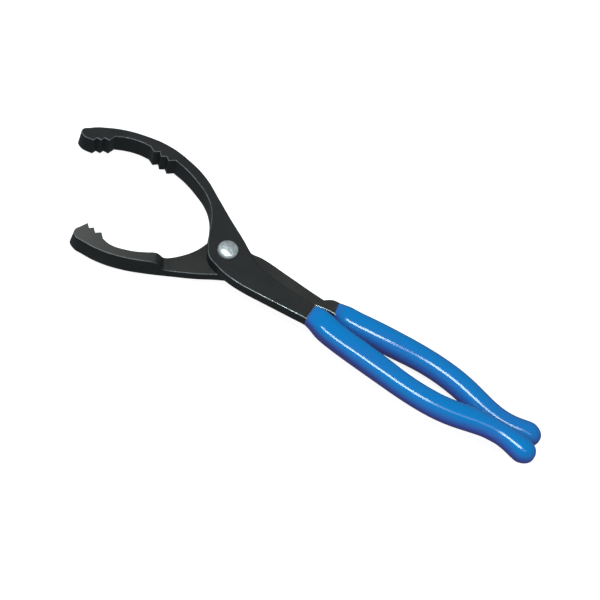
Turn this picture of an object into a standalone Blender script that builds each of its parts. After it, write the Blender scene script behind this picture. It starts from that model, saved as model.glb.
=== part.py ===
"""Oil filter wrench: pliers with two long toothed jaws, a riveted lap joint and dipped vinyl grips.

Written in millimetres and built in metres. The origin is on the rivet's axis, in the plane of the
jaws' undersides. +X runs along the handles, +Y towards the long hooked jaw's back, +Z up.
The handles are shut, which is the smallest size of filter that the jaws hold.
"""
import math

import bmesh
import bpy
from mathutils import Matrix

MM = 0.001

# Forgings
JAW_THICK = 13.8
LOWER_PLATE = 6.1
PLATE_GAP = 0.3
UPPER_PLATE_Z = LOWER_PLATE + PLATE_GAP
BOSS_R = 13.8
BOSS_CLEARANCE = 0.5
LOBE_R = 10.8
LAP_EDGE_X = -2.0
STEP_FOOT = (-25.6, -23.3)
STEP_ANGLE = 31.0
CORE_HALF_WIDTH = 4.6
CORE_HALF_THICK = 3.3
CORE_START_X = 72.0
CORE_END_X = 191.0

# Rivet
RIVET_R = 5.0
RUNNING_CLEARANCE = 0.07
HEAD_R = 5.7
HEAD_RISE = 3.3
HEAD_EDGE = 1.5
HEAD_GAP = 0.15
TAIL_R = 6.5
TAIL_DEPTH = 1.7
ROUND_STEPS = 64

# Cutters run well past the piece they cut.
BEYOND = 60.0
REACH = 260.0

# Grips
UPPER_GRIP_Z = 10.1
LOWER_GRIP_Z = 3.1
GRIP_HEIGHT_RATIO = 0.86
GRIP_SIDES = 24
CAVITY_GAP = 0.3
MOUTH_MARGIN = 4.0

SMOOTH = "AUTO"
CORNER = "VECTOR"

# Centre line of a grip: distance along X, distance from the X axis, half width.
UPPER_GRIP_MOUTH = (
    (57.3, 4.9, 6.1),
    (59.5, 4.8, 6.5),
    (62.0, 5.0, 7.0),
    (65.0, 5.9, 7.6),
    (68.0, 6.8, 7.8),
    (71.5, 7.7, 7.6),
)
UPPER_GRIP_BOW = (
    (76.0, 8.4, 7.5),
    (90.0, 9.4, 7.7),
    (105.0, 10.6, 7.5),
    (120.0, 11.9, 7.2),
    (133.0, 12.1, 7.2),
    (145.0, 11.2, 7.2),
    (155.0, 8.9, 7.2),
    (165.0, 6.3, 6.8),
    (174.0, 5.1, 6.2),
    (183.0, 5.5, 6.4),
    (190.0, 7.0, 7.3),
)
LOWER_GRIP_MOUTH = ((66.3, 8.7, 5.4), (68.4, 9.2, 6.2), (71.8, 8.9, 7.0))
LOWER_GRIP_BOW = (
    (76.0, 8.5, 7.4),
    (90.0, 9.6, 7.9),
    (105.0, 10.9, 7.8),
    (120.0, 12.1, 7.4),
    (133.0, 11.8, 7.3),
    (145.0, 10.3, 7.3),
    (155.0, 7.9, 7.2),
    (165.0, 5.9, 6.5),
    (174.0, 5.0, 6.3),
    (183.0, 5.7, 6.6),
    (190.0, 6.9, 7.1),
)
GRIP_END_LENGTH = 9.0
UPPER_GRIP_END_X = 199.5
LOWER_GRIP_END_X = 196.6

MATERIALS = {
    "black_steel": ((0.018, 0.018, 0.021), 0.42, 0.85),
    "bright_rivet": ((0.62, 0.64, 0.66), 0.28, 1.0),
    "blue_vinyl": ((0.0, 0.11, 0.42), 0.22, 0.0),
}


def clear_scene():
    for obj in list(bpy.data.objects):
        bpy.data.objects.remove(obj, do_unlink=True)


def new_collection(name, hidden=False):
    collection = bpy.data.collections.new(name)
    collection.hide_render = hidden
    bpy.context.scene.collection.children.link(collection)
    return collection


def make_material(name):
    colour, roughness, metallic = MATERIALS[name]
    material = bpy.data.materials.new(name)
    material.use_nodes = True
    shader = material.node_tree.nodes["Principled BSDF"]
    shader.inputs["Base Color"].default_value = (*colour, 1.0)
    shader.inputs["Roughness"].default_value = roughness
    shader.inputs["Metallic"].default_value = metallic
    return material


def add_object(name, data, collection):
    obj = bpy.data.objects.new(name, data)
    collection.objects.link(obj)
    return obj


def curve_to_mesh(obj, collection):
    """Replace a curve object by its mesh, with the loose caps welded to the sides."""
    bpy.context.view_layer.update()
    graph = bpy.context.evaluated_depsgraph_get()
    mesh = bpy.data.meshes.new_from_object(obj.evaluated_get(graph))
    work = bmesh.new()
    work.from_mesh(mesh)
    bmesh.ops.remove_doubles(work, verts=work.verts, dist=0.001 * MM)
    bmesh.ops.recalc_face_normals(work, faces=work.faces)
    work.to_mesh(mesh)
    work.free()
    name = obj.name
    place = obj.matrix_world.copy()
    curve = obj.data
    bpy.data.objects.remove(obj)
    bpy.data.curves.remove(curve)
    solid = add_object(name, mesh, collection)
    solid.matrix_world = place
    return solid


def outline_prism(name, points, z_low, z_high, collection, resolution=7):
    """A closed outline of (x, y, handle type) extruded between two heights."""
    curve = bpy.data.curves.new(name, "CURVE")
    curve.dimensions = "2D"
    curve.fill_mode = "BOTH"
    curve.extrude = (z_high - z_low) / 2 * MM
    curve.resolution_u = resolution
    spline = curve.splines.new("BEZIER")
    spline.bezier_points.add(len(points) - 1)
    spline.use_cyclic_u = True
    for point, (x, y, kind) in zip(spline.bezier_points, points):
        point.co = (x * MM, y * MM, 0)
        point.handle_left_type = kind
        point.handle_right_type = kind
    obj = add_object(name, curve, collection)
    obj.location.z = (z_low + z_high) / 2 * MM
    return curve_to_mesh(obj, collection)


def turned(name, profile, collection):
    """A profile of (radius, z), read from top to bottom, turned about the Z axis."""
    mesh = bpy.data.meshes.new(name)
    mesh.from_pydata(
        [(radius * MM, 0, z * MM) for radius, z in profile],
        [(i, i + 1) for i in range(len(profile) - 1)],
        [],
    )
    obj = add_object(name, mesh, collection)
    screw = obj.modifiers.new("turn", "SCREW")
    screw.steps = ROUND_STEPS
    screw.render_steps = ROUND_STEPS
    screw.use_merge_vertices = True
    screw.merge_threshold = 0.00001
    screw.use_smooth_shade = True
    return obj


def box_cutter(name, low, high, collection):
    bpy.ops.mesh.primitive_cube_add(size=1)
    obj = bpy.context.object
    obj.name = name
    for other in list(obj.users_collection):
        other.objects.unlink(obj)
    collection.objects.link(obj)
    size = [(b - a) * MM for a, b in zip(low, high)]
    middle = [(a + b) / 2 * MM for a, b in zip(low, high)]
    obj.data.transform(Matrix.Translation(middle) @ Matrix.Diagonal((*size, 1)))
    return obj


def hide_cutter(obj):
    obj.hide_render = True
    obj.display_type = "WIRE"


def cut(obj, cutter):
    hide_cutter(cutter)
    boolean = obj.modifiers.new(cutter.name, "BOOLEAN")
    boolean.operation = "DIFFERENCE"
    boolean.solver = "EXACT"
    boolean.object = cutter


def arc(radius, first_deg, last_deg, count, kind=SMOOTH):
    """Outline points along an arc about the rivet's axis."""
    points = []
    for i in range(count):
        angle = math.radians(first_deg + (last_deg - first_deg) * i / (count - 1))
        points.append((radius * math.cos(angle), radius * math.sin(angle), kind))
    return points


def core_side(side, grip_bow, half_width, end_x):
    """Both long sides and the round end of a handle core, from its outer to its inner side."""
    bow = [(x, y) for x, y, _ in grip_bow if x < end_x - half_width]
    end_y = grip_bow[-1][1]
    outer = [(x, side * (y + half_width), SMOOTH) for x, y in bow]
    tip = [
        (end_x - half_width, side * (end_y + half_width), SMOOTH),
        (end_x, side * end_y, SMOOTH),
        (end_x - half_width, side * (end_y - half_width), SMOOTH),
    ]
    inner = [(x, side * (y - half_width), SMOOTH) for x, y in reversed(bow)]
    return outer + tip + inner


def upper_lever_outline():
    """Round the lever that carries the hooked jaw, clockwise from above."""
    back = [
        (-105.8, 14.4, SMOOTH),
        (-109.0, 17.1, SMOOTH),
        (-105.4, 20.9, SMOOTH),
        (-98.3, 25.7, SMOOTH),
        (-89.0, 30.8, SMOOTH),
        (-77.0, 34.9, SMOOTH),
        (-62.3, 37.3, SMOOTH),
        (-48.0, 35.9, SMOOTH),
        (-35.0, 32.2, SMOOTH),
        (-21.1, 24.6, SMOOTH),
        (-9.2, 17.8, SMOOTH),
        (2.8, 11.4, SMOOTH),
        (10.4, 6.9, SMOOTH),
        (17.5, 3.2, SMOOTH),
        (28.0, 1.0, SMOOTH),
        (42.0, 0.0, SMOOTH),
        (58.0, 0.0, SMOOTH),
        (CORE_START_X - 2, -3.0, SMOOTH),
    ]
    core = list(reversed(core_side(-1, UPPER_GRIP_BOW, CORE_HALF_WIDTH, CORE_END_X)))
    front = [
        (69.5, -12.6, SMOOTH),
        (66.0, -10.9, SMOOTH),
        (61.0, -10.1, SMOOTH),
        (46.0, -11.0, SMOOTH),
        (30.0, -12.4, SMOOTH),
        (17.0, -13.3, SMOOTH),
        (8.0, -12.9, SMOOTH),
        (2.8, -12.0, SMOOTH),
    ]
    lobe = arc(LOBE_R, 262, 205, 5)
    hook = [
        (-13.4, 1.6, SMOOTH),
        (-16.6, 9.0, SMOOTH),
        (-21.5, 16.8, SMOOTH),
        (-28.6, 22.9, SMOOTH),
        (-37.2, 26.9, SMOOTH),
        (-45.5, 29.7, SMOOTH),
        (-54.6, 31.4, CORNER),
    ]
    middle_teeth = [
        (-57.6, 28.7, CORNER),
        (-60.0, 30.5, CORNER),
        (-62.6, 28.6, CORNER),
        (-64.8, 30.9, CORNER),
        (-67.2, 28.8, CORNER),
        (-70.8, 30.6, CORNER),
    ]
    throat = [
        (-77.0, 29.8, SMOOTH),
        (-84.5, 27.3, SMOOTH),
        (-90.0, 24.4, CORNER),
    ]
    tip_teeth = [
        (-91.2, 20.2, CORNER),
        (-94.2, 20.0, CORNER),
        (-94.9, 17.6, CORNER),
        (-97.6, 17.5, CORNER),
        (-98.4, 14.9, CORNER),
    ]
    return back + core + front + lobe + hook + middle_teeth + throat + tip_teeth


def lower_lever_outline():
    """Round the lever that carries the short jaw, clockwise from above."""
    teeth = [
        (-70.8, -30.5, CORNER),
        (-68.5, -32.6, CORNER),
        (-66.6, -30.8, CORNER),
        (-64.2, -33.1, CORNER),
        (-61.6, -30.9, CORNER),
        (-58.6, -33.7, CORNER),
    ]
    throat = [
        (-53.6, -34.4, SMOOTH),
        (-45.0, -32.1, SMOOTH),
        (-36.0, -27.4, SMOOTH),
        (-27.4, -20.6, SMOOTH),
        (-20.6, -13.4, SMOOTH),
        (-15.6, -5.2, SMOOTH),
    ]
    boss = arc(BOSS_R, 178, 52, 6)
    back = [
        (16.5, 11.7, SMOOTH),
        (32.0, 11.0, SMOOTH),
        (47.0, 10.1, SMOOTH),
        (57.3, 9.7, CORNER),
        (61.4, 12.7, SMOOTH),
        (65.8, 13.4, SMOOTH),
    ]
    core = core_side(1, LOWER_GRIP_BOW, CORE_HALF_WIDTH, CORE_END_X - 2)
    front = [
        (66.0, 5.7, SMOOTH),
        (57.0, 4.4, SMOOTH),
        (44.0, 1.2, SMOOTH),
        (28.0, -1.6, SMOOTH),
        (15.0, -4.8, SMOOTH),
        (3.0, -11.0, SMOOTH),
        (-8.0, -18.2, SMOOTH),
        (-19.7, -24.9, SMOOTH),
        (-32.0, -31.7, SMOOTH),
        (-44.4, -37.4, SMOOTH),
        (-56.0, -40.7, SMOOTH),
        (-66.0, -41.6, SMOOTH),
        (-72.6, -41.3, SMOOTH),
        (-76.3, -38.4, SMOOTH),
        (-73.6, -34.0, SMOOTH),
    ]
    return teeth + throat + boss + back + core + front


def lap_step_cutter(collection):
    """Takes the lower lever down to its plate, along a rounded ramp across the jaw's root."""
    outline = [
        (2.5, LOWER_PLATE, CORNER),
        (REACH, LOWER_PLATE, CORNER),
        (REACH, BEYOND, CORNER),
        (-7.5, BEYOND, CORNER),
        (-7.5, JAW_THICK + 0.01, CORNER),
        (-4.2, JAW_THICK - 1.2, SMOOTH),
        (-2.0, LOWER_PLATE + 3.6, SMOOTH),
        (-0.2, LOWER_PLATE + 0.9, SMOOTH),
    ]
    cutter = outline_prism("lap_step_cutter", outline, -REACH / 2, REACH / 2, collection)
    upright = Matrix.Rotation(math.radians(90), 4, "X")
    turn = Matrix.Rotation(math.radians(STEP_ANGLE), 4, "Z")
    place = Matrix.Translation((STEP_FOOT[0] * MM, STEP_FOOT[1] * MM, 0))
    cutter.matrix_world = place @ turn @ upright
    return cutter


def core_slab_cutters(collection):
    """Thin the upper lever's bar down to its handle core, above and below the middle plane."""
    start_x = UPPER_GRIP_MOUTH[0][0] - CAVITY_GAP
    core_top = UPPER_GRIP_Z + CORE_HALF_THICK
    core_bottom = UPPER_GRIP_Z - CORE_HALF_THICK
    return (
        box_cutter("core_top_cutter", (start_x, -BEYOND, core_top), (REACH, BEYOND, BEYOND), collection),
        box_cutter("core_low_cutter", (start_x, -BEYOND, -BEYOND), (REACH, BEYOND, core_bottom), collection),
    )


def rivet_hole_cutter(name, collection, countersunk):
    radius = RIVET_R + RUNNING_CLEARANCE
    sink = TAIL_R + RUNNING_CLEARANCE
    if countersunk:
        lower = [(radius, TAIL_DEPTH + 0.1), (sink, 0.1), (sink, -BEYOND), (0, -BEYOND)]
    else:
        lower = [(radius, -BEYOND), (0, -BEYOND)]
    return turned(name, [(0, BEYOND), (radius, BEYOND)] + lower, collection)


def make_upper_lever(parts, cutters):
    lever = outline_prism("upper_jaw_lever", upper_lever_outline(), 0, JAW_THICK, parts)
    clearance_r = BOSS_R + BOSS_CLEARANCE
    boss_profile = [
        (0, UPPER_PLATE_Z),
        (clearance_r, UPPER_PLATE_Z),
        (clearance_r, -BEYOND),
        (0, -BEYOND),
    ]
    cut(lever, turned("boss_cutter", boss_profile, cutters))
    lap_low = (LAP_EDGE_X, -BEYOND, -BEYOND)
    cut(lever, box_cutter("lap_cutter", lap_low, (REACH, BEYOND, UPPER_PLATE_Z), cutters))
    for slab in core_slab_cutters(cutters):
        cut(lever, slab)
    cut(lever, rivet_hole_cutter("upper_rivet_hole", cutters, False))
    return lever


def make_lower_lever(parts, cutters):
    lever = outline_prism("lower_jaw_lever", lower_lever_outline(), 0, JAW_THICK, parts)
    cut(lever, lap_step_cutter(cutters))
    cut(lever, rivet_hole_cutter("lower_rivet_hole", cutters, True))
    return lever


def make_rivet(parts):
    seat = JAW_THICK + HEAD_GAP
    edge = seat + HEAD_EDGE
    dome = []
    for i in range(7):
        angle = math.radians(90 * i / 6)
        dome.append((HEAD_R * math.sin(angle), edge + (HEAD_RISE - HEAD_EDGE) * math.cos(angle)))
    shank = [(HEAD_R, seat), (RIVET_R, seat), (RIVET_R, TAIL_DEPTH), (TAIL_R, 0.05), (TAIL_R, 0), (0, 0)]
    return turned("pivot_rivet", dome + shank, parts)


def grip_stations(mouth, bow, end_x):
    """Centre line and half width from the mouth, along the bow, and over the round end."""
    stations = list(mouth) + list(bow)
    last_y, last_half = bow[-1][1:]
    start = end_x - GRIP_END_LENGTH
    stations = [station for station in stations if station[0] < start - 0.4]
    for i in range(5):
        angle = math.radians(84 * i / 4)
        stations.append(
            (
                start + GRIP_END_LENGTH * math.sin(angle),
                last_y + 0.6 * math.sin(angle),
                last_half * math.cos(angle),
            )
        )
    return stations


def grip_profile(collection):
    """The grip's oval section, one unit wide on each side of its middle."""
    curve = bpy.data.curves.new("grip_section", "CURVE")
    curve.dimensions = "2D"
    spline = curve.splines.new("POLY")
    spline.points.add(GRIP_SIDES - 1)
    spline.use_cyclic_u = True
    for i, point in enumerate(spline.points):
        angle = 2 * math.pi * i / GRIP_SIDES
        point.co = (MM * math.cos(angle), MM * GRIP_HEIGHT_RATIO * math.sin(angle), 0, 1)
    obj = add_object("grip_section", curve, collection)
    hide_cutter(obj)
    return obj


def make_grip(name, side, middle_z, mouth, bow, end_x, core_outline, profile, parts, cutters):
    """A closed sleeve: an oval tube along the bow, hollowed by the core with a small gap."""
    curve = bpy.data.curves.new(name, "CURVE")
    curve.dimensions = "3D"
    curve.twist_mode = "Z_UP"
    curve.bevel_mode = "OBJECT"
    curve.bevel_object = profile
    curve.use_fill_caps = True
    curve.resolution_u = 2
    spline = curve.splines.new("BEZIER")
    spline.radius_interpolation = "CARDINAL"
    stations = grip_stations(mouth, bow, end_x)
    spline.bezier_points.add(len(stations) - 1)
    for point, (x, y, half) in zip(spline.bezier_points, stations):
        point.co = (x * MM, side * y * MM, middle_z * MM)
        point.handle_left_type = SMOOTH
        point.handle_right_type = SMOOTH
        point.radius = half
    grip = curve_to_mesh(add_object(name, curve, parts), parts)
    cavity_low = middle_z - CORE_HALF_THICK - CAVITY_GAP
    cavity_high = middle_z + CORE_HALF_THICK + CAVITY_GAP
    cavity = outline_prism(name + "_cavity", core_outline, cavity_low, cavity_high, cutters)
    cut(grip, cavity)
    return grip


def upper_cavity_outline():
    """The upper core's outline with the sleeve's gap round it, open at the mouth."""
    gap = CAVITY_GAP
    mouth_x = UPPER_GRIP_MOUTH[0][0] - MOUTH_MARGIN
    rear = [(mouth_x, gap, SMOOTH), (58.0, gap, SMOOTH), (CORE_START_X - 2, -3.0 + gap, SMOOTH)]
    core = list(reversed(core_side(-1, UPPER_GRIP_BOW, CORE_HALF_WIDTH + gap, CORE_END_X + gap)))
    front = [
        (69.5 - gap / 2, -12.6 - gap, SMOOTH),
        (66.0 - gap / 2, -10.9 - gap, SMOOTH),
        (61.0, -10.1 - gap, SMOOTH),
        (mouth_x, -10.6 - gap, SMOOTH),
    ]
    return rear + core + front


def lower_cavity_outline():
    """The lower core's outline with the sleeve's gap round it, open at the mouth."""
    gap = CAVITY_GAP
    mouth_x = LOWER_GRIP_MOUTH[0][0] - MOUTH_MARGIN
    outer = [(mouth_x, 13.1 + gap, SMOOTH), (65.8, 13.4 + gap, SMOOTH)]
    core = core_side(1, LOWER_GRIP_BOW, CORE_HALF_WIDTH + gap, CORE_END_X - 2 + gap)
    inner = [(66.0, 5.7 - gap, SMOOTH), (mouth_x, 5.1 - gap, SMOOTH)]
    return outer + core + inner


def give_material(obj, material):
    obj.data.materials.clear()
    obj.data.materials.append(material)
    for polygon in obj.data.polygons:
        polygon.use_smooth = True
    obj.data.set_sharp_from_angle(angle=math.radians(35))


def main():
    clear_scene()
    parts = new_collection("oil_filter_wrench")
    cutters = new_collection("cutters", hidden=True)
    steel = make_material("black_steel")
    bright = make_material("bright_rivet")
    vinyl = make_material("blue_vinyl")
    profile = grip_profile(cutters)
    give_material(make_upper_lever(parts, cutters), steel)
    give_material(make_lower_lever(parts, cutters), steel)
    give_material(make_rivet(parts), bright)
    upper_grip = make_grip(
        "upper_lever_grip", -1, UPPER_GRIP_Z, UPPER_GRIP_MOUTH, UPPER_GRIP_BOW, UPPER_GRIP_END_X,
        upper_cavity_outline(), profile, parts, cutters,
    )
    lower_grip = make_grip(
        "lower_lever_grip", 1, LOWER_GRIP_Z, LOWER_GRIP_MOUTH, LOWER_GRIP_BOW, LOWER_GRIP_END_X,
        lower_cavity_outline(), profile, parts, cutters,
    )
    give_material(upper_grip, vinyl)
    give_material(lower_grip, vinyl)


main()
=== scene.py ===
"""Oil filter wrench: the finished surfaces of its two forged levers, rivet and dipped vinyl grips."""
from math import cos, pi, radians, sin, tan

import bmesh
import bpy
from mathutils import Matrix, Vector


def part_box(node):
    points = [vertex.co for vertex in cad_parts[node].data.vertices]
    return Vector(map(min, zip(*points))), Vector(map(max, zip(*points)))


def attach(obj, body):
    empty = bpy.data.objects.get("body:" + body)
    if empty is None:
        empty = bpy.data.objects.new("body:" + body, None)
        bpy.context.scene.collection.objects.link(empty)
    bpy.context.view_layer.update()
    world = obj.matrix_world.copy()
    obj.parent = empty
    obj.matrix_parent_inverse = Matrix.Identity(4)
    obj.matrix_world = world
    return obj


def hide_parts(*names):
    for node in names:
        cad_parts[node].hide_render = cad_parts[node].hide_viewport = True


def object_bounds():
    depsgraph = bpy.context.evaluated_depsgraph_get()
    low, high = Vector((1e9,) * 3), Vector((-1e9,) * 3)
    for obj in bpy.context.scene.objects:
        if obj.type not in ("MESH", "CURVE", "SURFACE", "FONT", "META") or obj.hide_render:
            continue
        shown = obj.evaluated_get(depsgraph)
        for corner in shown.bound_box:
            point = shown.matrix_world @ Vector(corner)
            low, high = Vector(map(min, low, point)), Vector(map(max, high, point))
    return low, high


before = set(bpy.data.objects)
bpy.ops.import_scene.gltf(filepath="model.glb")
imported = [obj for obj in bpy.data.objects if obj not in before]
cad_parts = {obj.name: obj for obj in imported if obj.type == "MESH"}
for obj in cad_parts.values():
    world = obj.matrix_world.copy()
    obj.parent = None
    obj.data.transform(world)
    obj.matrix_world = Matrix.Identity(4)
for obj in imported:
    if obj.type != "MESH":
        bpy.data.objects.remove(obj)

bl_info = {
    "name": "Oil Filter Wrench",
    "version": (1, 0, 0),
    "blender": (4, 5, 0),
    "location": "View3D > Sidebar > Filter Wrench",
    "description": "Models the forged levers, rivet and vinyl grips of a plier-type oil filter wrench",
    "category": "Object",
}

CAD_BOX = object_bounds()
MM = 0.001
RIVET_ZONE = 6.5 * MM
SAME_PLACE = 0.002 * MM
SLIVER = 0.2 * MM
HOOK_TIP_ZONE = 9 * MM
SHORT_TIP_ZONE = 5.3 * MM

LOWER_BODY = "lower_lever"
UPPER_BODY = "upper_lever"


# ---------------------------------------------------------------- settings


class WrenchSteel(bpy.types.PropertyGroup):
    """Black oxide forgings."""

    edge_break: bpy.props.FloatProperty(
        name="Edge break", description="Radius that is cut on the forgings' rims",
        default=0.3 * MM, min=0.05 * MM, unit="LENGTH",
    )
    edge_round: bpy.props.FloatProperty(
        name="Edge rounding", description="Radius over which the shading rounds every edge",
        default=0.8 * MM, min=0.1 * MM, unit="LENGTH",
    )
    hook_draft: bpy.props.FloatProperty(
        name="Hook tip draft", description="How far the hooked jaw's upper tip edge is set back",
        default=1.7 * MM, unit="LENGTH",
    )
    short_draft: bpy.props.FloatProperty(
        name="Short jaw tip draft", description="How far the short jaw's upper tip edge is set back",
        default=2.2 * MM, unit="LENGTH",
    )
    upper_colour: bpy.props.FloatVectorProperty(
        name="Hooked lever", description="Black oxide on the lever with the hooked jaw",
        default=(0.0108, 0.0110, 0.0112), size=3, min=0, max=1, subtype="COLOR",
    )
    lower_colour: bpy.props.FloatVectorProperty(
        name="Short lever", description="Thinner, greyer oxide on the lever with the short jaw",
        default=(0.0190, 0.0182, 0.0175), size=3, min=0, max=1, subtype="COLOR",
    )
    # Painted shade: a darker, bluish colour laid on every upright wall according to which way it faces.
    wall_shade_colour: bpy.props.FloatVectorProperty(
        name="Walls", description="Thicker, bluer oxide on the forged walls",
        default=(0.0080, 0.0135, 0.0150), size=3, min=0, max=1, subtype="COLOR",
    )
    # Also used for the painted highlight laid on the front-facing top edges.
    worn_and_highlight_colour: bpy.props.FloatVectorProperty(
        name="Worn edge", description="Bare steel where the oxide has rubbed off",
        default=(0.80, 0.88, 0.90), size=3, min=0, max=1, subtype="COLOR",
    )


class WrenchRivet(bpy.types.PropertyGroup):
    """Bright plated pivot rivet."""

    head_radius: bpy.props.FloatProperty(
        name="Head radius", description="Radius of the domed head", default=5.7 * MM, min=1 * MM,
        unit="LENGTH",
    )
    head_edge: bpy.props.FloatProperty(
        name="Head edge", description="Height of the upright edge under the dome",
        default=1.3 * MM, min=0, unit="LENGTH",
    )
    colour: bpy.props.FloatVectorProperty(
        name="Plating", description="Bright zinc plating",
        default=(0.82, 0.90, 0.92), size=3, min=0, max=1, subtype="COLOR",
    )


class WrenchGrips(bpy.types.PropertyGroup):
    """Dipped vinyl sleeves."""

    mouth_run: bpy.props.FloatProperty(
        name="Mouth run", description="How far the thin vinyl runs before it reaches its full section",
        default=5.0 * MM, min=3 * MM, unit="LENGTH",
    )
    upper_squareness: bpy.props.FloatProperty(
        name="Hooked lever's squareness", description="How square the near end of its grip is",
        default=1.0, min=0, max=1, subtype="FACTOR",
    )
    lower_squareness: bpy.props.FloatProperty(
        name="Short lever's squareness", description="How square the near end of its grip is",
        default=0.5, min=0, max=1, subtype="FACTOR",
    )
    colour: bpy.props.FloatVectorProperty(
        name="Vinyl", description="Blue plastisol",
        default=(0.0008, 0.190, 0.52), size=3, min=0, max=1, subtype="COLOR",
    )
    # Painted shade: a darker, violet blue laid on the sleeves' lower half.
    shade_below_colour: bpy.props.FloatVectorProperty(
        name="Thick vinyl", description="Deeper blue where the dip ran together underneath",
        default=(0.052, 0.070, 0.37), size=3, min=0, max=1, subtype="COLOR",
    )


class WrenchStage(bpy.types.PropertyGroup):
    """Floor, lights and camera."""

    azimuth: bpy.props.FloatProperty(
        name="Azimuth", description="Camera's turn about the vertical, from looking along +Y",
        default=radians(18.3), subtype="ANGLE",
    )
    elevation: bpy.props.FloatProperty(
        name="Elevation", description="Camera's height above the horizon",
        default=radians(60.0), subtype="ANGLE",
    )
    roll: bpy.props.FloatProperty(
        name="Roll", description="Camera's turn about its own line of sight",
        default=radians(15.7), subtype="ANGLE",
    )
    distance: bpy.props.FloatProperty(
        name="Distance", description="From the camera to the point it looks at",
        default=1.25, min=0.1, unit="LENGTH",
    )
    lens: bpy.props.FloatProperty(
        name="Lens", description="Focal length in millimetres on a 36 mm sensor", default=138.4, min=10
    )
    floor_colour: bpy.props.FloatVectorProperty(
        name="Floor", description="White table", default=(0.48, 0.48, 0.48), size=3, min=0, max=1,
        subtype="COLOR",
    )
    floor_glow: bpy.props.FloatProperty(
        name="Floor glow", description="Light that comes through the white table", default=0.88, min=0
    )
    ambient: bpy.props.FloatProperty(
        name="Ambient light", description="Even light from all round", default=0.20, min=0
    )


# ---------------------------------------------------------------- modelling helpers


def deselect_everything():
    if bpy.context.object and bpy.context.object.mode != "OBJECT":
        bpy.ops.object.mode_set(mode="OBJECT")
    bpy.ops.object.select_all(action="DESELECT")


def make_active(obj):
    deselect_everything()
    obj.select_set(True)
    bpy.context.view_layer.objects.active = obj


def name_new_object(name):
    obj = bpy.context.object
    obj.name = name
    obj.data.name = name
    return obj


def copy_of_node(node, name):
    """The CAD solid's mesh as a new, merged piece, with its flat faces whole."""
    obj = bpy.data.objects.new(name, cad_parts[node].data.copy())
    obj.data.name = name
    obj.data.materials.clear()
    bpy.context.scene.collection.objects.link(obj)
    make_active(obj)
    bpy.ops.object.mode_set(mode="EDIT")
    bpy.ops.mesh.select_all(action="SELECT")
    bpy.ops.mesh.customdata_custom_splitnormals_clear()
    bpy.ops.mesh.remove_doubles(threshold=SAME_PLACE)
    bpy.ops.mesh.dissolve_limited(angle_limit=radians(0.4))
    bpy.ops.mesh.select_all(action="SELECT")
    bpy.ops.mesh.remove_doubles(threshold=SLIVER)
    bpy.ops.object.mode_set(mode="OBJECT")
    return obj


def is_rim(edge, limit=radians(28)):
    """A sharp outer edge between a level face and a wall, away from the rivet's hole."""
    if len(edge.link_faces) != 2 or not edge.is_convex or edge.calc_face_angle(0) < limit:
        return False
    if all(vertex.co.to_2d().length < RIVET_ZONE for vertex in edge.verts):
        return False
    flat = [abs(face.normal.z) > 0.98 for face in edge.link_faces]
    return flat.count(True) == 1


def material_of(obj, material):
    obj.data.materials.clear()
    obj.data.materials.append(material)


# ---------------------------------------------------------------- node helpers


def new_material(name):
    material = bpy.data.materials.new(name)
    material.use_nodes = True
    tree = material.node_tree
    return material, tree, tree.nodes["Principled BSDF"]


def object_coordinates(tree, scale=(1, 1, 1)):
    source = tree.nodes.new("ShaderNodeTexCoord")
    mapping = tree.nodes.new("ShaderNodeMapping")
    mapping.inputs["Scale"].default_value = scale
    tree.links.new(source.outputs["Object"], mapping.inputs["Vector"])
    return mapping.outputs["Vector"]


def noise(tree, vector, scale, detail=4.0, roughness=0.55):
    node = tree.nodes.new("ShaderNodeTexNoise")
    node.inputs["Scale"].default_value = scale
    node.inputs["Detail"].default_value = detail
    node.inputs["Roughness"].default_value = roughness
    tree.links.new(vector, node.inputs["Vector"])
    return node.outputs["Fac"]


def remap(tree, value, low, high, out_low=0.0, out_high=1.0):
    node = tree.nodes.new("ShaderNodeMapRange")
    node.inputs["From Min"].default_value = low
    node.inputs["From Max"].default_value = high
    node.inputs["To Min"].default_value = out_low
    node.inputs["To Max"].default_value = out_high
    tree.links.new(value, node.inputs["Value"])
    return node.outputs["Result"]


def maths(tree, operation, first, second):
    node = tree.nodes.new("ShaderNodeMath")
    node.operation = operation
    node.use_clamp = True
    for socket, value in zip(node.inputs, (first, second)):
        if isinstance(value, (int, float)):
            socket.default_value = value
        else:
            tree.links.new(value, socket)
    return node.outputs["Value"]


def mix_colours(tree, factor, first, second):
    node = tree.nodes.new("ShaderNodeMix")
    node.data_type = "RGBA"
    tree.links.new(factor, node.inputs["Factor"])
    for socket, value in ((node.inputs["A"], first), (node.inputs["B"], second)):
        if isinstance(value, bpy.types.NodeSocket):
            tree.links.new(value, socket)
        else:
            socket.default_value = (*value, 1.0)
    return node.outputs["Result"]


def bump(tree, shader, height, distance, strength=1.0, below=None):
    node = tree.nodes.new("ShaderNodeBump")
    node.inputs["Distance"].default_value = distance
    node.inputs["Strength"].default_value = strength
    tree.links.new(height, node.inputs["Height"])
    if below is not None:
        tree.links.new(below, node.inputs["Normal"])
    tree.links.new(node.outputs["Normal"], shader.inputs["Normal"])
    return node.outputs["Normal"]


# ---------------------------------------------------------------- materials


def split_vector(tree, vector):
    split = tree.nodes.new("ShaderNodeSeparateXYZ")
    tree.links.new(vector, split.inputs["Vector"])
    return split.outputs


def rounded_normal(tree, radius):
    """The normal with every edge rounded, as the shader needs it and in the piece's own axes."""
    bevel = tree.nodes.new("ShaderNodeBevel")
    bevel.samples = 8
    bevel.inputs["Radius"].default_value = radius
    turn = tree.nodes.new("ShaderNodeVectorTransform")
    turn.vector_type = "NORMAL"
    turn.convert_from = "WORLD"
    turn.convert_to = "OBJECT"
    tree.links.new(bevel.outputs["Normal"], turn.inputs["Vector"])
    return bevel.outputs["Normal"], split_vector(tree, turn.outputs["Vector"])


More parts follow.
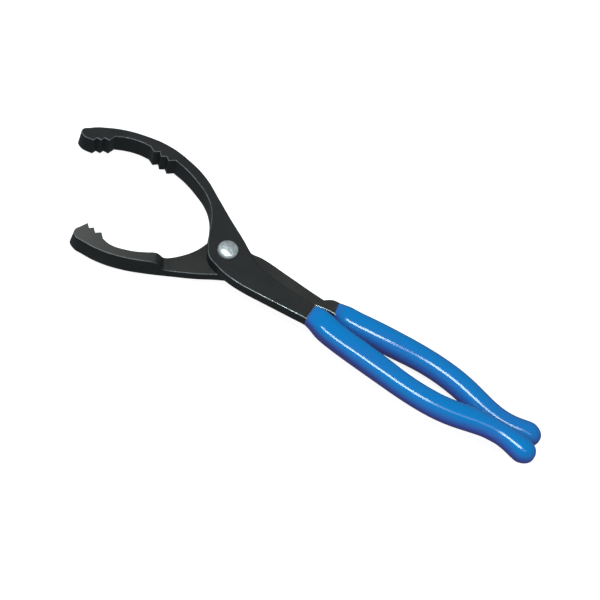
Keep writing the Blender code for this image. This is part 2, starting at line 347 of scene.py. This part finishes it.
def black_oxide(name, colour, steel, tip_fade):
    """Forged steel under black oxide: fine scale, faint streaks, a paler jaw tip, painted bluish shade on
    the walls, and rubbed edges that also carry a painted highlight.
    """
    material, tree, shader = new_material(name)
    place = object_coordinates(tree)
    along = split_vector(tree, place)["X"]
    clouds = noise(tree, place, scale=45.0, detail=5.0, roughness=0.6)
    scale_grain = noise(tree, place, scale=900.0, detail=3.0, roughness=0.7)
    streaks = noise(tree, object_coordinates(tree, (0.25, 1.0, 1.0)), scale=700.0, detail=2.0, roughness=0.5)
    pits = noise(tree, place, scale=2600.0, detail=2.0, roughness=0.8)
    soft_normal, facing = rounded_normal(tree, steel.edge_round)

    lighter = [min(1.0, channel * 1.5 + 0.002) for channel in colour]
    darker = [channel * 0.65 for channel in colour]
    patchy = mix_colours(tree, remap(tree, clouds, 0.35, 0.68), darker, lighter)
    speckled = mix_colours(tree, remap(tree, scale_grain, 0.42, 0.75, 0.0, 0.55), patchy, lighter)
    thin = remap(tree, along, -25 * MM, -72 * MM, 0.0, tip_fade)
    faded = mix_colours(tree, thin, speckled, [channel * 3.7 for channel in colour])
    # Painted shade: upright walls take the darker, bluish wall colour, set only by which way they face.
    upright = remap(tree, facing["Z"], 0.55, 0.15)
    wall = maths(tree, "MULTIPLY", upright, remap(tree, clouds, 0.2, 0.7, 1.0, 0.75))
    shaded = mix_colours(tree, wall, faded, tuple(steel.wall_shade_colour))

    # Rubbed edges with a painted highlight: bright, metallic steel on the rounded top edges, only where they
    # face the front (-Y), and stronger towards the grips where the lights catch them.
    off_top = remap(tree, facing["Z"], 0.995, 0.93)
    off_wall = remap(tree, facing["Z"], 0.40, 0.62)
    front = remap(tree, facing["Y"], 0.25, -0.55)
    by_grip = remap(tree, along, 0.0, 50 * MM, 0.30, 1.8)
    top_edge = maths(tree, "MULTIPLY", off_top, off_wall)
    front_highlight_by_grip = maths(tree, "MULTIPLY", front, by_grip)
    rubbed = remap(tree, noise(tree, place, scale=260.0, detail=5.0, roughness=0.7), 0.36, 0.60, 0.30, 1.0)
    wear_and_highlight = maths(tree, "MULTIPLY", maths(tree, "MULTIPLY", top_edge, front_highlight_by_grip), rubbed)
    tree.links.new(mix_colours(tree, wear_and_highlight, shaded, tuple(steel.worn_and_highlight_colour)), shader.inputs["Base Color"])
    tree.links.new(wear_and_highlight, shader.inputs["Metallic"])

    polish = remap(tree, clouds, 0.3, 0.7, 0.50, 0.40)
    roughness = maths(tree, "SUBTRACT", polish, maths(tree, "MULTIPLY", wear_and_highlight, 0.24))
    tree.links.new(roughness, shader.inputs["Roughness"])
    shader.inputs["Specular IOR Level"].default_value = 0.3

    grain_normal = bump(tree, shader, scale_grain, 0.05 * MM, 0.7, soft_normal)
    streak_normal = bump(tree, shader, streaks, 0.02 * MM, 0.4, grain_normal)
    bump(tree, shader, pits, 0.015 * MM, 0.5, streak_normal)
    return material


def bright_plating(name, colour):
    """Zinc plate over a peened head: soft hammer facets and fine scratches."""
    material, tree, shader = new_material(name)
    place = object_coordinates(tree)
    facets = noise(tree, place, scale=420.0, detail=1.0, roughness=0.4)
    drawn_out = object_coordinates(tree, (1.0, 14.0, 1.0))
    scratches = noise(tree, drawn_out, scale=900.0, detail=2.0, roughness=0.6)
    dull = [channel * 0.72 for channel in colour]
    tint = mix_colours(tree, remap(tree, facets, 0.35, 0.65), dull, colour)
    tree.links.new(tint, shader.inputs["Base Color"])
    tree.links.new(remap(tree, scratches, 0.3, 0.7, 0.28, 0.42), shader.inputs["Roughness"])
    shader.inputs["Metallic"].default_value = 0.8
    facet_normal = bump(tree, shader, facets, 0.35 * MM, 0.60)
    bump(tree, shader, scratches, 0.01 * MM, 0.4, facet_normal)
    return material


def dipped_vinyl(name, colour, shade_below_colour):
    """Glossy plastisol with painted shade, darker and more violet on its lower half, plus slow runs, faint
    orange peel and handling marks.
    """
    material, tree, shader = new_material(name)
    place = object_coordinates(tree)
    runs = noise(tree, object_coordinates(tree, (0.3, 1.0, 1.0)), scale=60.0, detail=1.0, roughness=0.5)
    peel = noise(tree, place, scale=420.0, detail=2.0, roughness=0.5)
    marks = noise(tree, object_coordinates(tree, (1.0, 5.0, 5.0)), scale=500.0, detail=5.0, roughness=0.7)
    shade_below = tree.nodes.new("ShaderNodeAttribute")
    shade_below.attribute_name = "painted_shade_below"
    # Painted shade below, with the slow runs' uneven tone added on top.
    shade_and_runs = maths(tree, "ADD", shade_below.outputs["Fac"], remap(tree, runs, 0.36, 0.66, -0.08, 0.16))
    tint = mix_colours(tree, shade_and_runs, colour, shade_below_colour)
    tree.links.new(tint, shader.inputs["Base Color"])
    tree.links.new(remap(tree, marks, 0.45, 0.75, 0.125, 0.145), shader.inputs["Roughness"])
    shader.inputs["Specular IOR Level"].default_value = 0.38
    slow = bump(tree, shader, runs, 0.08 * MM, 0.3)
    bump(tree, shader, peel, 0.004 * MM, 0.3, slow)
    return material


# ---------------------------------------------------------------- levers


def lean_tip(obj, beyond_x, amount):
    """Set a jaw tip's upper edge back, so that its end leans outwards towards the underside."""
    near_top = 0.9 * max(vertex.co.z for vertex in obj.data.vertices)
    end = min(vertex.co.x for vertex in obj.data.vertices)
    for vertex in obj.data.vertices:
        past = (beyond_x - vertex.co.x) / (beyond_x - end)
        if vertex.co.z > near_top and past > 0:
            vertex.co.x += amount * past


def break_edges(obj, radius):
    """Round the rims by a small radius that the teeth's short edges leave room for."""
    make_active(obj)
    work = bmesh.new()
    work.from_mesh(obj.data)
    layer = work.edges.layers.float.new("bevel_weight_edge")
    for edge in work.edges:
        edge[layer] = 1.0 if is_rim(edge) else 0.0
    work.to_mesh(obj.data)
    work.free()
    bevel = obj.modifiers.new("break_rims", "BEVEL")
    bevel.limit_method = "WEIGHT"
    bevel.width = radius
    bevel.segments = 3
    bevel.use_clamp_overlap = False
    bevel.miter_outer = "MITER_ARC"
    bpy.ops.object.modifier_apply(modifier=bevel.name)


def smooth_forging(obj):
    """Shade the rounded rims smooth and keep the level faces looking flat."""
    make_active(obj)
    bpy.ops.object.shade_smooth_by_angle(angle=radians(30))
    modifier = obj.modifiers.new("even_normals", "WEIGHTED_NORMAL")
    modifier.keep_sharp = True
    bpy.ops.object.modifier_apply(modifier=modifier.name)


class WRENCH_OT_upper_lever(bpy.types.Operator):
    """Forge the lever with the long hooked jaw"""

    bl_idname = "filter_wrench.upper_lever"
    bl_label = "Hooked Jaw Lever"

    def execute(self, context):
        steel = context.scene.wrench_steel
        lever = copy_of_node("upper_jaw_lever", "hooked_jaw_lever")
        lean_tip(lever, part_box("upper_jaw_lever")[0].x + HOOK_TIP_ZONE, steel.hook_draft)
        break_edges(lever, steel.edge_break)
        smooth_forging(lever)
        finish = black_oxide("black_oxide_upper", tuple(steel.upper_colour), steel, tip_fade=0.0)
        material_of(lever, finish)
        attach(lever, UPPER_BODY)
        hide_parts("upper_jaw_lever")
        return {"FINISHED"}


class WRENCH_OT_lower_lever(bpy.types.Operator):
    """Forge the lever with the short jaw and the lap plate"""

    bl_idname = "filter_wrench.lower_lever"
    bl_label = "Short Jaw Lever"

    def execute(self, context):
        steel = context.scene.wrench_steel
        lever = copy_of_node("lower_jaw_lever", "short_jaw_lever")
        lean_tip(lever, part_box("lower_jaw_lever")[0].x + SHORT_TIP_ZONE, steel.short_draft)
        break_edges(lever, steel.edge_break)
        smooth_forging(lever)
        finish = black_oxide("black_oxide_lower", tuple(steel.lower_colour), steel, tip_fade=1.0)
        material_of(lever, finish)
        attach(lever, LOWER_BODY)
        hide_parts("lower_jaw_lever")
        return {"FINISHED"}


# ---------------------------------------------------------------- rivet


def grow_ring(rise, scale, centre):
    """Extrude the selected ring upwards or downwards, then scale it about the axis."""
    bpy.ops.mesh.extrude_region_move(TRANSFORM_OT_translate={"value": (0, 0, rise)})
    bpy.ops.transform.resize(value=(scale, scale, 1), center_override=centre)


def turned_piece(name, rings, vertices=72):
    """A turned solid from (radius, z) rings, bottom to top, with both ends filled."""
    deselect_everything()
    radius, height = rings[0]
    bpy.ops.mesh.primitive_circle_add(
        vertices=vertices, radius=radius, fill_type="NGON", location=(0, 0, height)
    )
    obj = name_new_object(name)
    bpy.ops.object.transform_apply(location=True, rotation=True, scale=True)
    bpy.ops.object.mode_set(mode="EDIT")
    bpy.ops.mesh.select_all(action="SELECT")
    for (old_radius, old_height), (new_radius, new_height) in zip(rings, rings[1:]):
        grow_ring(new_height - old_height, new_radius / old_radius, (0, 0, new_height))
    bpy.ops.mesh.select_all(action="SELECT")
    bpy.ops.mesh.normals_make_consistent(inside=False)
    bpy.ops.object.mode_set(mode="OBJECT")
    return obj


SHANK_RADIUS = 4.95 * MM
TAIL_TAPER = 1.7 * MM
HEAD_LIFT = 0.15 * MM
HEAD_CHAMFER = 0.25 * MM
TOP_GAP = 0.02 * MM
TOP_RADIUS = 0.15 * MM
DOME_STEPS = 12
DOME_FULLNESS = 0.9


def rivet_rings(settings):
    """The rivet's profile as (radius, z) rings: peened tail, shank, upright edge and dome."""
    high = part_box("pivot_rivet")[1]
    top = high.z - TOP_GAP
    tail_r = high.x
    head_r = settings.head_radius
    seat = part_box("upper_jaw_lever")[1].z + HEAD_LIFT
    shoulder = seat + settings.head_edge
    rings = [(tail_r - 0.5 * MM, 0), (tail_r - 0.1 * MM, 0.06 * MM), (tail_r - 0.02 * MM, 0.2 * MM)]
    rings += [(SHANK_RADIUS, TAIL_TAPER), (SHANK_RADIUS, seat), (head_r - HEAD_CHAMFER, seat)]
    rings += [(head_r, seat + HEAD_CHAMFER), (head_r, shoulder)]
    for i in range(1, DOME_STEPS):
        angle = pi / 2 * i / DOME_STEPS
        rings.append((head_r * cos(angle) ** DOME_FULLNESS, shoulder + (top - shoulder) * sin(angle)))
    rings.append((TOP_RADIUS, top))
    return rings


class WRENCH_OT_rivet(bpy.types.Operator):
    """Turn the domed pivot rivet and peen its tail"""

    bl_idname = "filter_wrench.rivet"
    bl_label = "Pivot Rivet"

    def execute(self, context):
        settings = context.scene.wrench_rivet
        rivet = turned_piece("domed_rivet", rivet_rings(settings))
        make_active(rivet)
        bpy.ops.object.shade_smooth_by_angle(angle=radians(40))
        material_of(rivet, bright_plating("bright_zinc", settings.colour))
        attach(rivet, LOWER_BODY)
        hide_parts("pivot_rivet")
        return {"FINISHED"}


# ---------------------------------------------------------------- grips

RING_POINTS = 24
SUBSURF_SHRINK = 0.9886
CORNER_PUSH = 0.19
SIDE_PUSH = 0.14
SQUARE_FADE = 2.6
BODY_STEPS = 15
# Distance from the mouth, and the vinyl's thickness there.
MOUTH_STEPS = ((0, 0.35 * MM), (0.8 * MM, 0.75 * MM), (2.6 * MM, 1.0 * MM))
# Distances past the mouth run, and short of the round end.
NECK_STEPS = (0, 3 * MM, 6.5 * MM, 11 * MM)
END_STEPS = (9 * MM, 6.6 * MM, 4.4 * MM, 2.6 * MM, 1.3 * MM, 0.45 * MM)
CORE_CAVITY = (5.45 * MM, 4.0 * MM)
CAVITY_TAPER = 6 * MM
# Distance short of the core's tip, and half the cavity's size in Y and Z.
CAVITY_TIP = ((2.0 * MM, 4.3 * MM, 3.8 * MM), (-0.8 * MM, 2.6 * MM, 2.4 * MM))
LOWER_MOUTH_TILT = radians(13)


def section_at(node, x):
    """Middle and half size, in Y and Z, of a CAD solid where the plane at x cuts it."""
    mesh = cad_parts[node].data
    cuts = []
    for edge in mesh.edges:
        first, second = (mesh.vertices[i].co for i in edge.vertices)
        if (first.x - x) * (second.x - x) < 0:
            cuts.append(first.lerp(second, (x - first.x) / (second.x - first.x)))
    ys = [point.y for point in cuts]
    zs = [point.z for point in cuts]
    middle = Vector((x, (min(ys) + max(ys)) / 2, (min(zs) + max(zs)) / 2))
    return middle, (max(ys) - min(ys)) / 2, (max(zs) - min(zs)) / 2


def bar_ring(bar, x, wall):
    """A ring round the lever's flat bar, with this much vinyl on it."""
    middle, half_y, half_z = bar
    return Vector((x, middle.y, middle.z)), half_y + wall, half_z + wall, 1.0


def grip_rings(node, bar, mouth_x, mouth_run, squareness):
    """Rings from the mouth to the round end: middle, half sizes in Y and Z, and squareness."""
    end_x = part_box(node)[1].x
    length = end_x - mouth_x
    rings = [bar_ring(bar, mouth_x + along, wall) for along, wall in MOUTH_STEPS]
    stations = [mouth_x + mouth_run + step for step in NECK_STEPS]
    first, last = stations[-1], end_x - END_STEPS[0]
    stations += [first + (last - first) * i / BODY_STEPS for i in range(1, BODY_STEPS)]
    stations += [end_x - step for step in END_STEPS]
    for x in stations:
        middle, half_y, half_z = section_at(node, x)
        square = squareness * max(0.0, 1 - (x - mouth_x) / length) ** SQUARE_FADE
        inset = 1 + SIDE_PUSH * square
        rings.append((middle, half_y / inset, half_z / inset, square))
    return rings


def place_ring(old, new):
    """Extrude the selected ring from one station to the next and size it there."""
    bpy.ops.mesh.extrude_region_move(TRANSFORM_OT_translate={"value": new[0] - old[0]})
    bpy.ops.transform.resize(
        value=(1, new[1] / old[1], new[2] / old[2]), center_override=new[0]
    )


def square_up(obj, rings):
    """Push each ring's four corners out as far as its squareness says."""
    for middle, half_y, half_z, squareness in rings:
        for vertex in obj.data.vertices:
            if abs(vertex.co.x - middle.x) > SAME_PLACE:
                continue
            across = (vertex.co.y - middle.y) / half_y
            upwards = (vertex.co.z - middle.z) / half_z
            push = 1 + CORNER_PUSH * squareness * min(1.0, (2 * across * upwards) ** 2)
            vertex.co.y = middle.y + (vertex.co.y - middle.y) * push
            vertex.co.z = middle.z + (vertex.co.z - middle.z) * push


def close_ring():
    """Fill the selected ring with a fan of triangles."""
    bpy.ops.mesh.edge_face_add()
    bpy.ops.mesh.poke()


def select_ring_at(obj, x):
    bpy.ops.mesh.select_mode(type="VERT")
    bpy.ops.mesh.select_all(action="DESELECT")
    work = bmesh.from_edit_mesh(obj.data)
    for vertex in work.verts:
        vertex.select = abs(vertex.co.x - x) < SAME_PLACE
    work.select_flush_mode()
    bmesh.update_edit_mesh(obj.data)


def cavity_rings(rings, bar, core_end):
    """Rings of the hollow for the handle core: round the lip, then along the core to its tip."""
    mouth_x = rings[0][0].x
    lip = [
        bar_ring(bar, mouth_x - 0.25 * MM, 0.12 * MM),
        bar_ring(bar, mouth_x - 0.02 * MM, -0.04 * MM),
        bar_ring(bar, mouth_x + 2.1 * MM, -0.04 * MM),
    ]
    core = [
        (ring[0] + Vector((0.01 * MM, 0, 0)), *CORE_CAVITY, 1.0)
        for ring in rings[len(MOUTH_STEPS) + 1::2]
        if ring[0].x < core_end - CAVITY_TAPER
    ]
    last = core[-1][0]
    tip = [
        (last + Vector((core_end - short_of - last.x, 0, 0)), half_y, half_z, 0.6)
        for short_of, half_y, half_z in CAVITY_TIP
    ]
    return lip + core + tip


def make_sleeve(node, name, lever_node, tilt, squareness, settings):
    """Extrude ring by ring from the mouth, close the round end, and hollow it for the core."""
    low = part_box(node)[0]
    bar = section_at(lever_node, low.x - 1.2 * MM)
    mouth_x = low.x + bar[1] * tan(tilt)
    rings = grip_rings(node, bar, mouth_x, settings.mouth_run, squareness)
    mouth = rings[0]
    deselect_everything()
    bpy.ops.mesh.primitive_circle_add(
        vertices=RING_POINTS, radius=1 * MM, fill_type="NOTHING", location=mouth[0],
        rotation=(0, pi / 2, 0),
    )
    obj = name_new_object(name)
    bpy.ops.object.transform_apply(location=True, rotation=True, scale=True)
    bpy.ops.object.mode_set(mode="EDIT")
    bpy.ops.mesh.select_all(action="SELECT")
    fit = 1 / (1 * MM * SUBSURF_SHRINK)
    bpy.ops.transform.resize(value=(1, mouth[1] * fit, mouth[2] * fit), center_override=mouth[0])
    for old, new in zip(rings, rings[1:]):
        place_ring(old, new)
    close_ring()
    hollow = cavity_rings(rings, bar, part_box(lever_node)[1].x)
    select_ring_at(obj, mouth[0].x)
    for old, new in zip([mouth] + hollow, hollow):
        place_ring(old, new)
    close_ring()
    bpy.ops.mesh.select_all(action="SELECT")
    bpy.ops.mesh.normals_make_consistent(inside=False)
    bpy.ops.object.mode_set(mode="OBJECT")
    square_up(obj, rings + hollow)
    tilt_mouth(obj, mouth, tilt, settings.mouth_run)
    return obj


def tilt_mouth(obj, mouth, tilt, run):
    """Turn the mouth square to the handle where it splays, fading out along the run."""
    middle = mouth[0]
    for vertex in obj.data.vertices:
        fade = max(0.0, 1 - abs(vertex.co.x - middle.x) / run)
        vertex.co.x -= (vertex.co.y - middle.y) * tan(tilt) * fade


def paint_shade_below(obj, low, high):
    """Store the painted shade on the vinyl: 0 near the sleeve's top, 1 from its middle height down."""
    middle = (low.z + high.z) / 2
    half = (high.z - low.z) / 2
    shade_below = obj.data.attributes.new("painted_shade_below", "FLOAT", "POINT")
    for vertex, value in zip(obj.data.vertices, shade_below.data):
        depth = 1.10 - 1.45 * (vertex.co.z - middle) / half
        value.value = min(1.0, max(0.0, depth))


def smooth_sleeve(obj):
    make_active(obj)
    modifier = obj.modifiers.new("round", "SUBSURF")
    modifier.levels = 2
    modifier.render_levels = 2
    bpy.ops.object.modifier_apply(modifier=modifier.name)
    bpy.ops.object.shade_smooth()


class WRENCH_OT_grips(bpy.types.Operator):
    """Dip both handles in vinyl"""

    bl_idname = "filter_wrench.grips"
    bl_label = "Vinyl Grips"

    def execute(self, context):
        settings = context.scene.wrench_grips
        vinyl = dipped_vinyl("blue_plastisol", settings.colour, settings.shade_below_colour)
        upper = ("upper_lever_grip", "hooked_lever_grip", "upper_jaw_lever", 0.0)
        lower = ("lower_lever_grip", "short_lever_grip", "lower_jaw_lever", LOWER_MOUTH_TILT)
        rows = (
            (*upper, settings.upper_squareness, UPPER_BODY),
            (*lower, settings.lower_squareness, LOWER_BODY),
        )
        for node, name, lever_node, tilt, squareness, body in rows:
            sleeve = make_sleeve(node, name, lever_node, tilt, squareness, settings)
            smooth_sleeve(sleeve)
            paint_shade_below(sleeve, *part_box(node))
            material_of(sleeve, vinyl)
            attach(sleeve, body)
            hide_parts(node)
        return {"FINISHED"}


# ---------------------------------------------------------------- stage

AIM = (46.9 * MM, 1.4 * MM, 7.0 * MM)
TABLE_GAP = 0.1 * MM


def area_light(name, centre, towards, distance, width, depth, radiance, colour=(1, 1, 1)):
    """A soft box that faces the tool, its brightness given as the light that leaves its face."""
    deselect_everything()
    direction = Vector(towards).normalized()
    bpy.ops.object.light_add(type="AREA", location=Vector(centre) + direction * distance)
    light = bpy.context.object
    light.name = name
    light.data.shape = "RECTANGLE"
    light.data.size = width
    light.data.size_y = depth
    light.data.energy = radiance * pi * width * depth
    light.data.color = colour
    side = Vector((1, 0, 0)) if abs(direction.x) < 0.6 else Vector((0, 1, 0))
    upright = direction.cross(side).normalized()
    level = upright.cross(direction)
    light.rotation_euler = Matrix((level, upright, direction)).transposed().to_euler()
    return light


def camera_place(stage, aim):
    """The camera's matrix from its azimuth, elevation and roll about the point it looks at."""
    azimuth, elevation = stage.azimuth, stage.elevation
    back = Vector((sin(azimuth) * cos(elevation), -cos(azimuth) * cos(elevation), sin(elevation)))
    right = Vector((cos(azimuth), sin(azimuth), 0))
    up = back.cross(right)
    rolled_right = right * cos(stage.roll) + up * sin(stage.roll)
    rolled_up = up * cos(stage.roll) - right * sin(stage.roll)
    turn = Matrix((rolled_right, rolled_up, back)).transposed().to_4x4()
    return Matrix.Translation(Vector(aim) + back * stage.distance) @ turn


def lay_table(stage, middle, height):
    """A white table top that glows, so that it stays white all over, and shows in no reflection."""
    deselect_everything()
    bpy.ops.mesh.primitive_plane_add(size=6.0, location=(middle.x, middle.y, height))
    floor = name_new_object("table_top")
    material, tree, shader = new_material("white_table")
    place = object_coordinates(tree)
    shade = [channel * 0.985 for channel in stage.floor_colour]
    tint = mix_colours(tree, noise(tree, place, 12.0), shade, stage.floor_colour)
    tree.links.new(tint, shader.inputs["Base Color"])
    shader.inputs["Roughness"].default_value = 0.9
    shader.inputs["Emission Color"].default_value = (1, 1, 1, 1)
    shader.inputs["Emission Strength"].default_value = stage.floor_glow
    floor.data.materials.append(material)
    floor.visible_glossy = False
    floor.visible_diffuse = False


def light_all_round(scene, strength):
    """Even, slightly cool light from every side."""
    world = scene.world or bpy.data.worlds.new("studio")
    scene.world = world
    world.use_nodes = True
    sky = world.node_tree.nodes["Background"]
    sky.inputs["Color"].default_value = (0.95, 0.98, 1.0, 1.0)
    sky.inputs["Strength"].default_value = strength
    scene.view_settings.view_transform = "Standard"


def hang_lights(centre):
    """Two strips overhead, which the grips reflect, and three boxes that show in no reflection."""
    area_light(
        "key_strip", centre, (-0.185, -0.10, 0.98), 3.0, 0.95, 0.80, 22.0, (0.84, 0.98, 1.0)
    )
    area_light("long_strip", centre, (0.10, -0.10, 0.98), 3.0, 2.6, 0.60, 3.0)
    boxes = (
        ("front_box", (0.05, -0.77, 0.62), 1.1, (0.80, 0.76, 1.0)),
        ("left_box", (-0.85, -0.10, 0.52), 0.9, (1, 1, 1)),
        ("right_box", (0.85, -0.10, 0.52), 0.9, (1, 1, 1)),
    )
    for name, towards, radiance, colour in boxes:
        box = area_light(name, centre, towards, 1.4, 1.1, 0.9, radiance, colour)
        box.visible_glossy = False


def set_camera(scene, stage):
    data = bpy.data.cameras.new("view_camera")
    data.lens = stage.lens
    camera = bpy.data.objects.new("view_camera", data)
    scene.collection.objects.link(camera)
    camera.matrix_world = camera_place(stage, AIM)
    scene.camera = camera


class WRENCH_OT_stage(bpy.types.Operator):
    """Lay the white table and set the lights and the camera"""

    bl_idname = "filter_wrench.stage"
    bl_label = "Stage"

    def execute(self, context):
        stage = context.scene.wrench_stage
        low, high = CAD_BOX
        middle = (low + high) / 2
        lay_table(stage, middle, low.z - TABLE_GAP)
        light_all_round(context.scene, stage.ambient)
        hang_lights(tuple(middle))
        set_camera(context.scene, stage)
        return {"FINISHED"}


class WRENCH_PT_panel(bpy.types.Panel):
    """Steps that build the wrench, in order"""

    bl_label = "Filter Wrench"
    bl_idname = "WRENCH_PT_panel"
    bl_space_type = "VIEW_3D"
    bl_region_type = "UI"
    bl_category = "Filter Wrench"

    def draw(self, context):
        layout = self.layout
        for operator in OPERATORS:
            layout.operator(operator.bl_idname)
        for group in ("wrench_steel", "wrench_rivet", "wrench_grips", "wrench_stage"):
            settings = getattr(context.scene, group)
            box = layout.box()
            for key in settings.bl_rna.properties.keys():
                if key not in ("rna_type", "name"):
                    box.prop(settings, key)


OPERATORS = (
    WRENCH_OT_upper_lever,
    WRENCH_OT_lower_lever,
    WRENCH_OT_rivet,
    WRENCH_OT_grips,
    WRENCH_OT_stage,
)
SETTINGS = {
    "wrench_steel": WrenchSteel,
    "wrench_rivet": WrenchRivet,
    "wrench_grips": WrenchGrips,
    "wrench_stage": WrenchStage,
}
CLASSES = (*SETTINGS.values(), *OPERATORS, WRENCH_PT_panel)


def register():
    for cls in CLASSES:
        bpy.utils.register_class(cls)
    for name, group in SETTINGS.items():
        setattr(bpy.types.Scene, name, bpy.props.PointerProperty(type=group))


def unregister():
    for name in SETTINGS:
        delattr(bpy.types.Scene, name)
    for cls in reversed(CLASSES):
        bpy.utils.unregister_class(cls)


def main():
    register()
    bpy.ops.filter_wrench.upper_lever()
    bpy.ops.filter_wrench.lower_lever()
    bpy.ops.filter_wrench.rivet()
    bpy.ops.filter_wrench.grips()
    bpy.ops.filter_wrench.stage()
    deselect_everything()


if __name__ == "__main__":
    main()
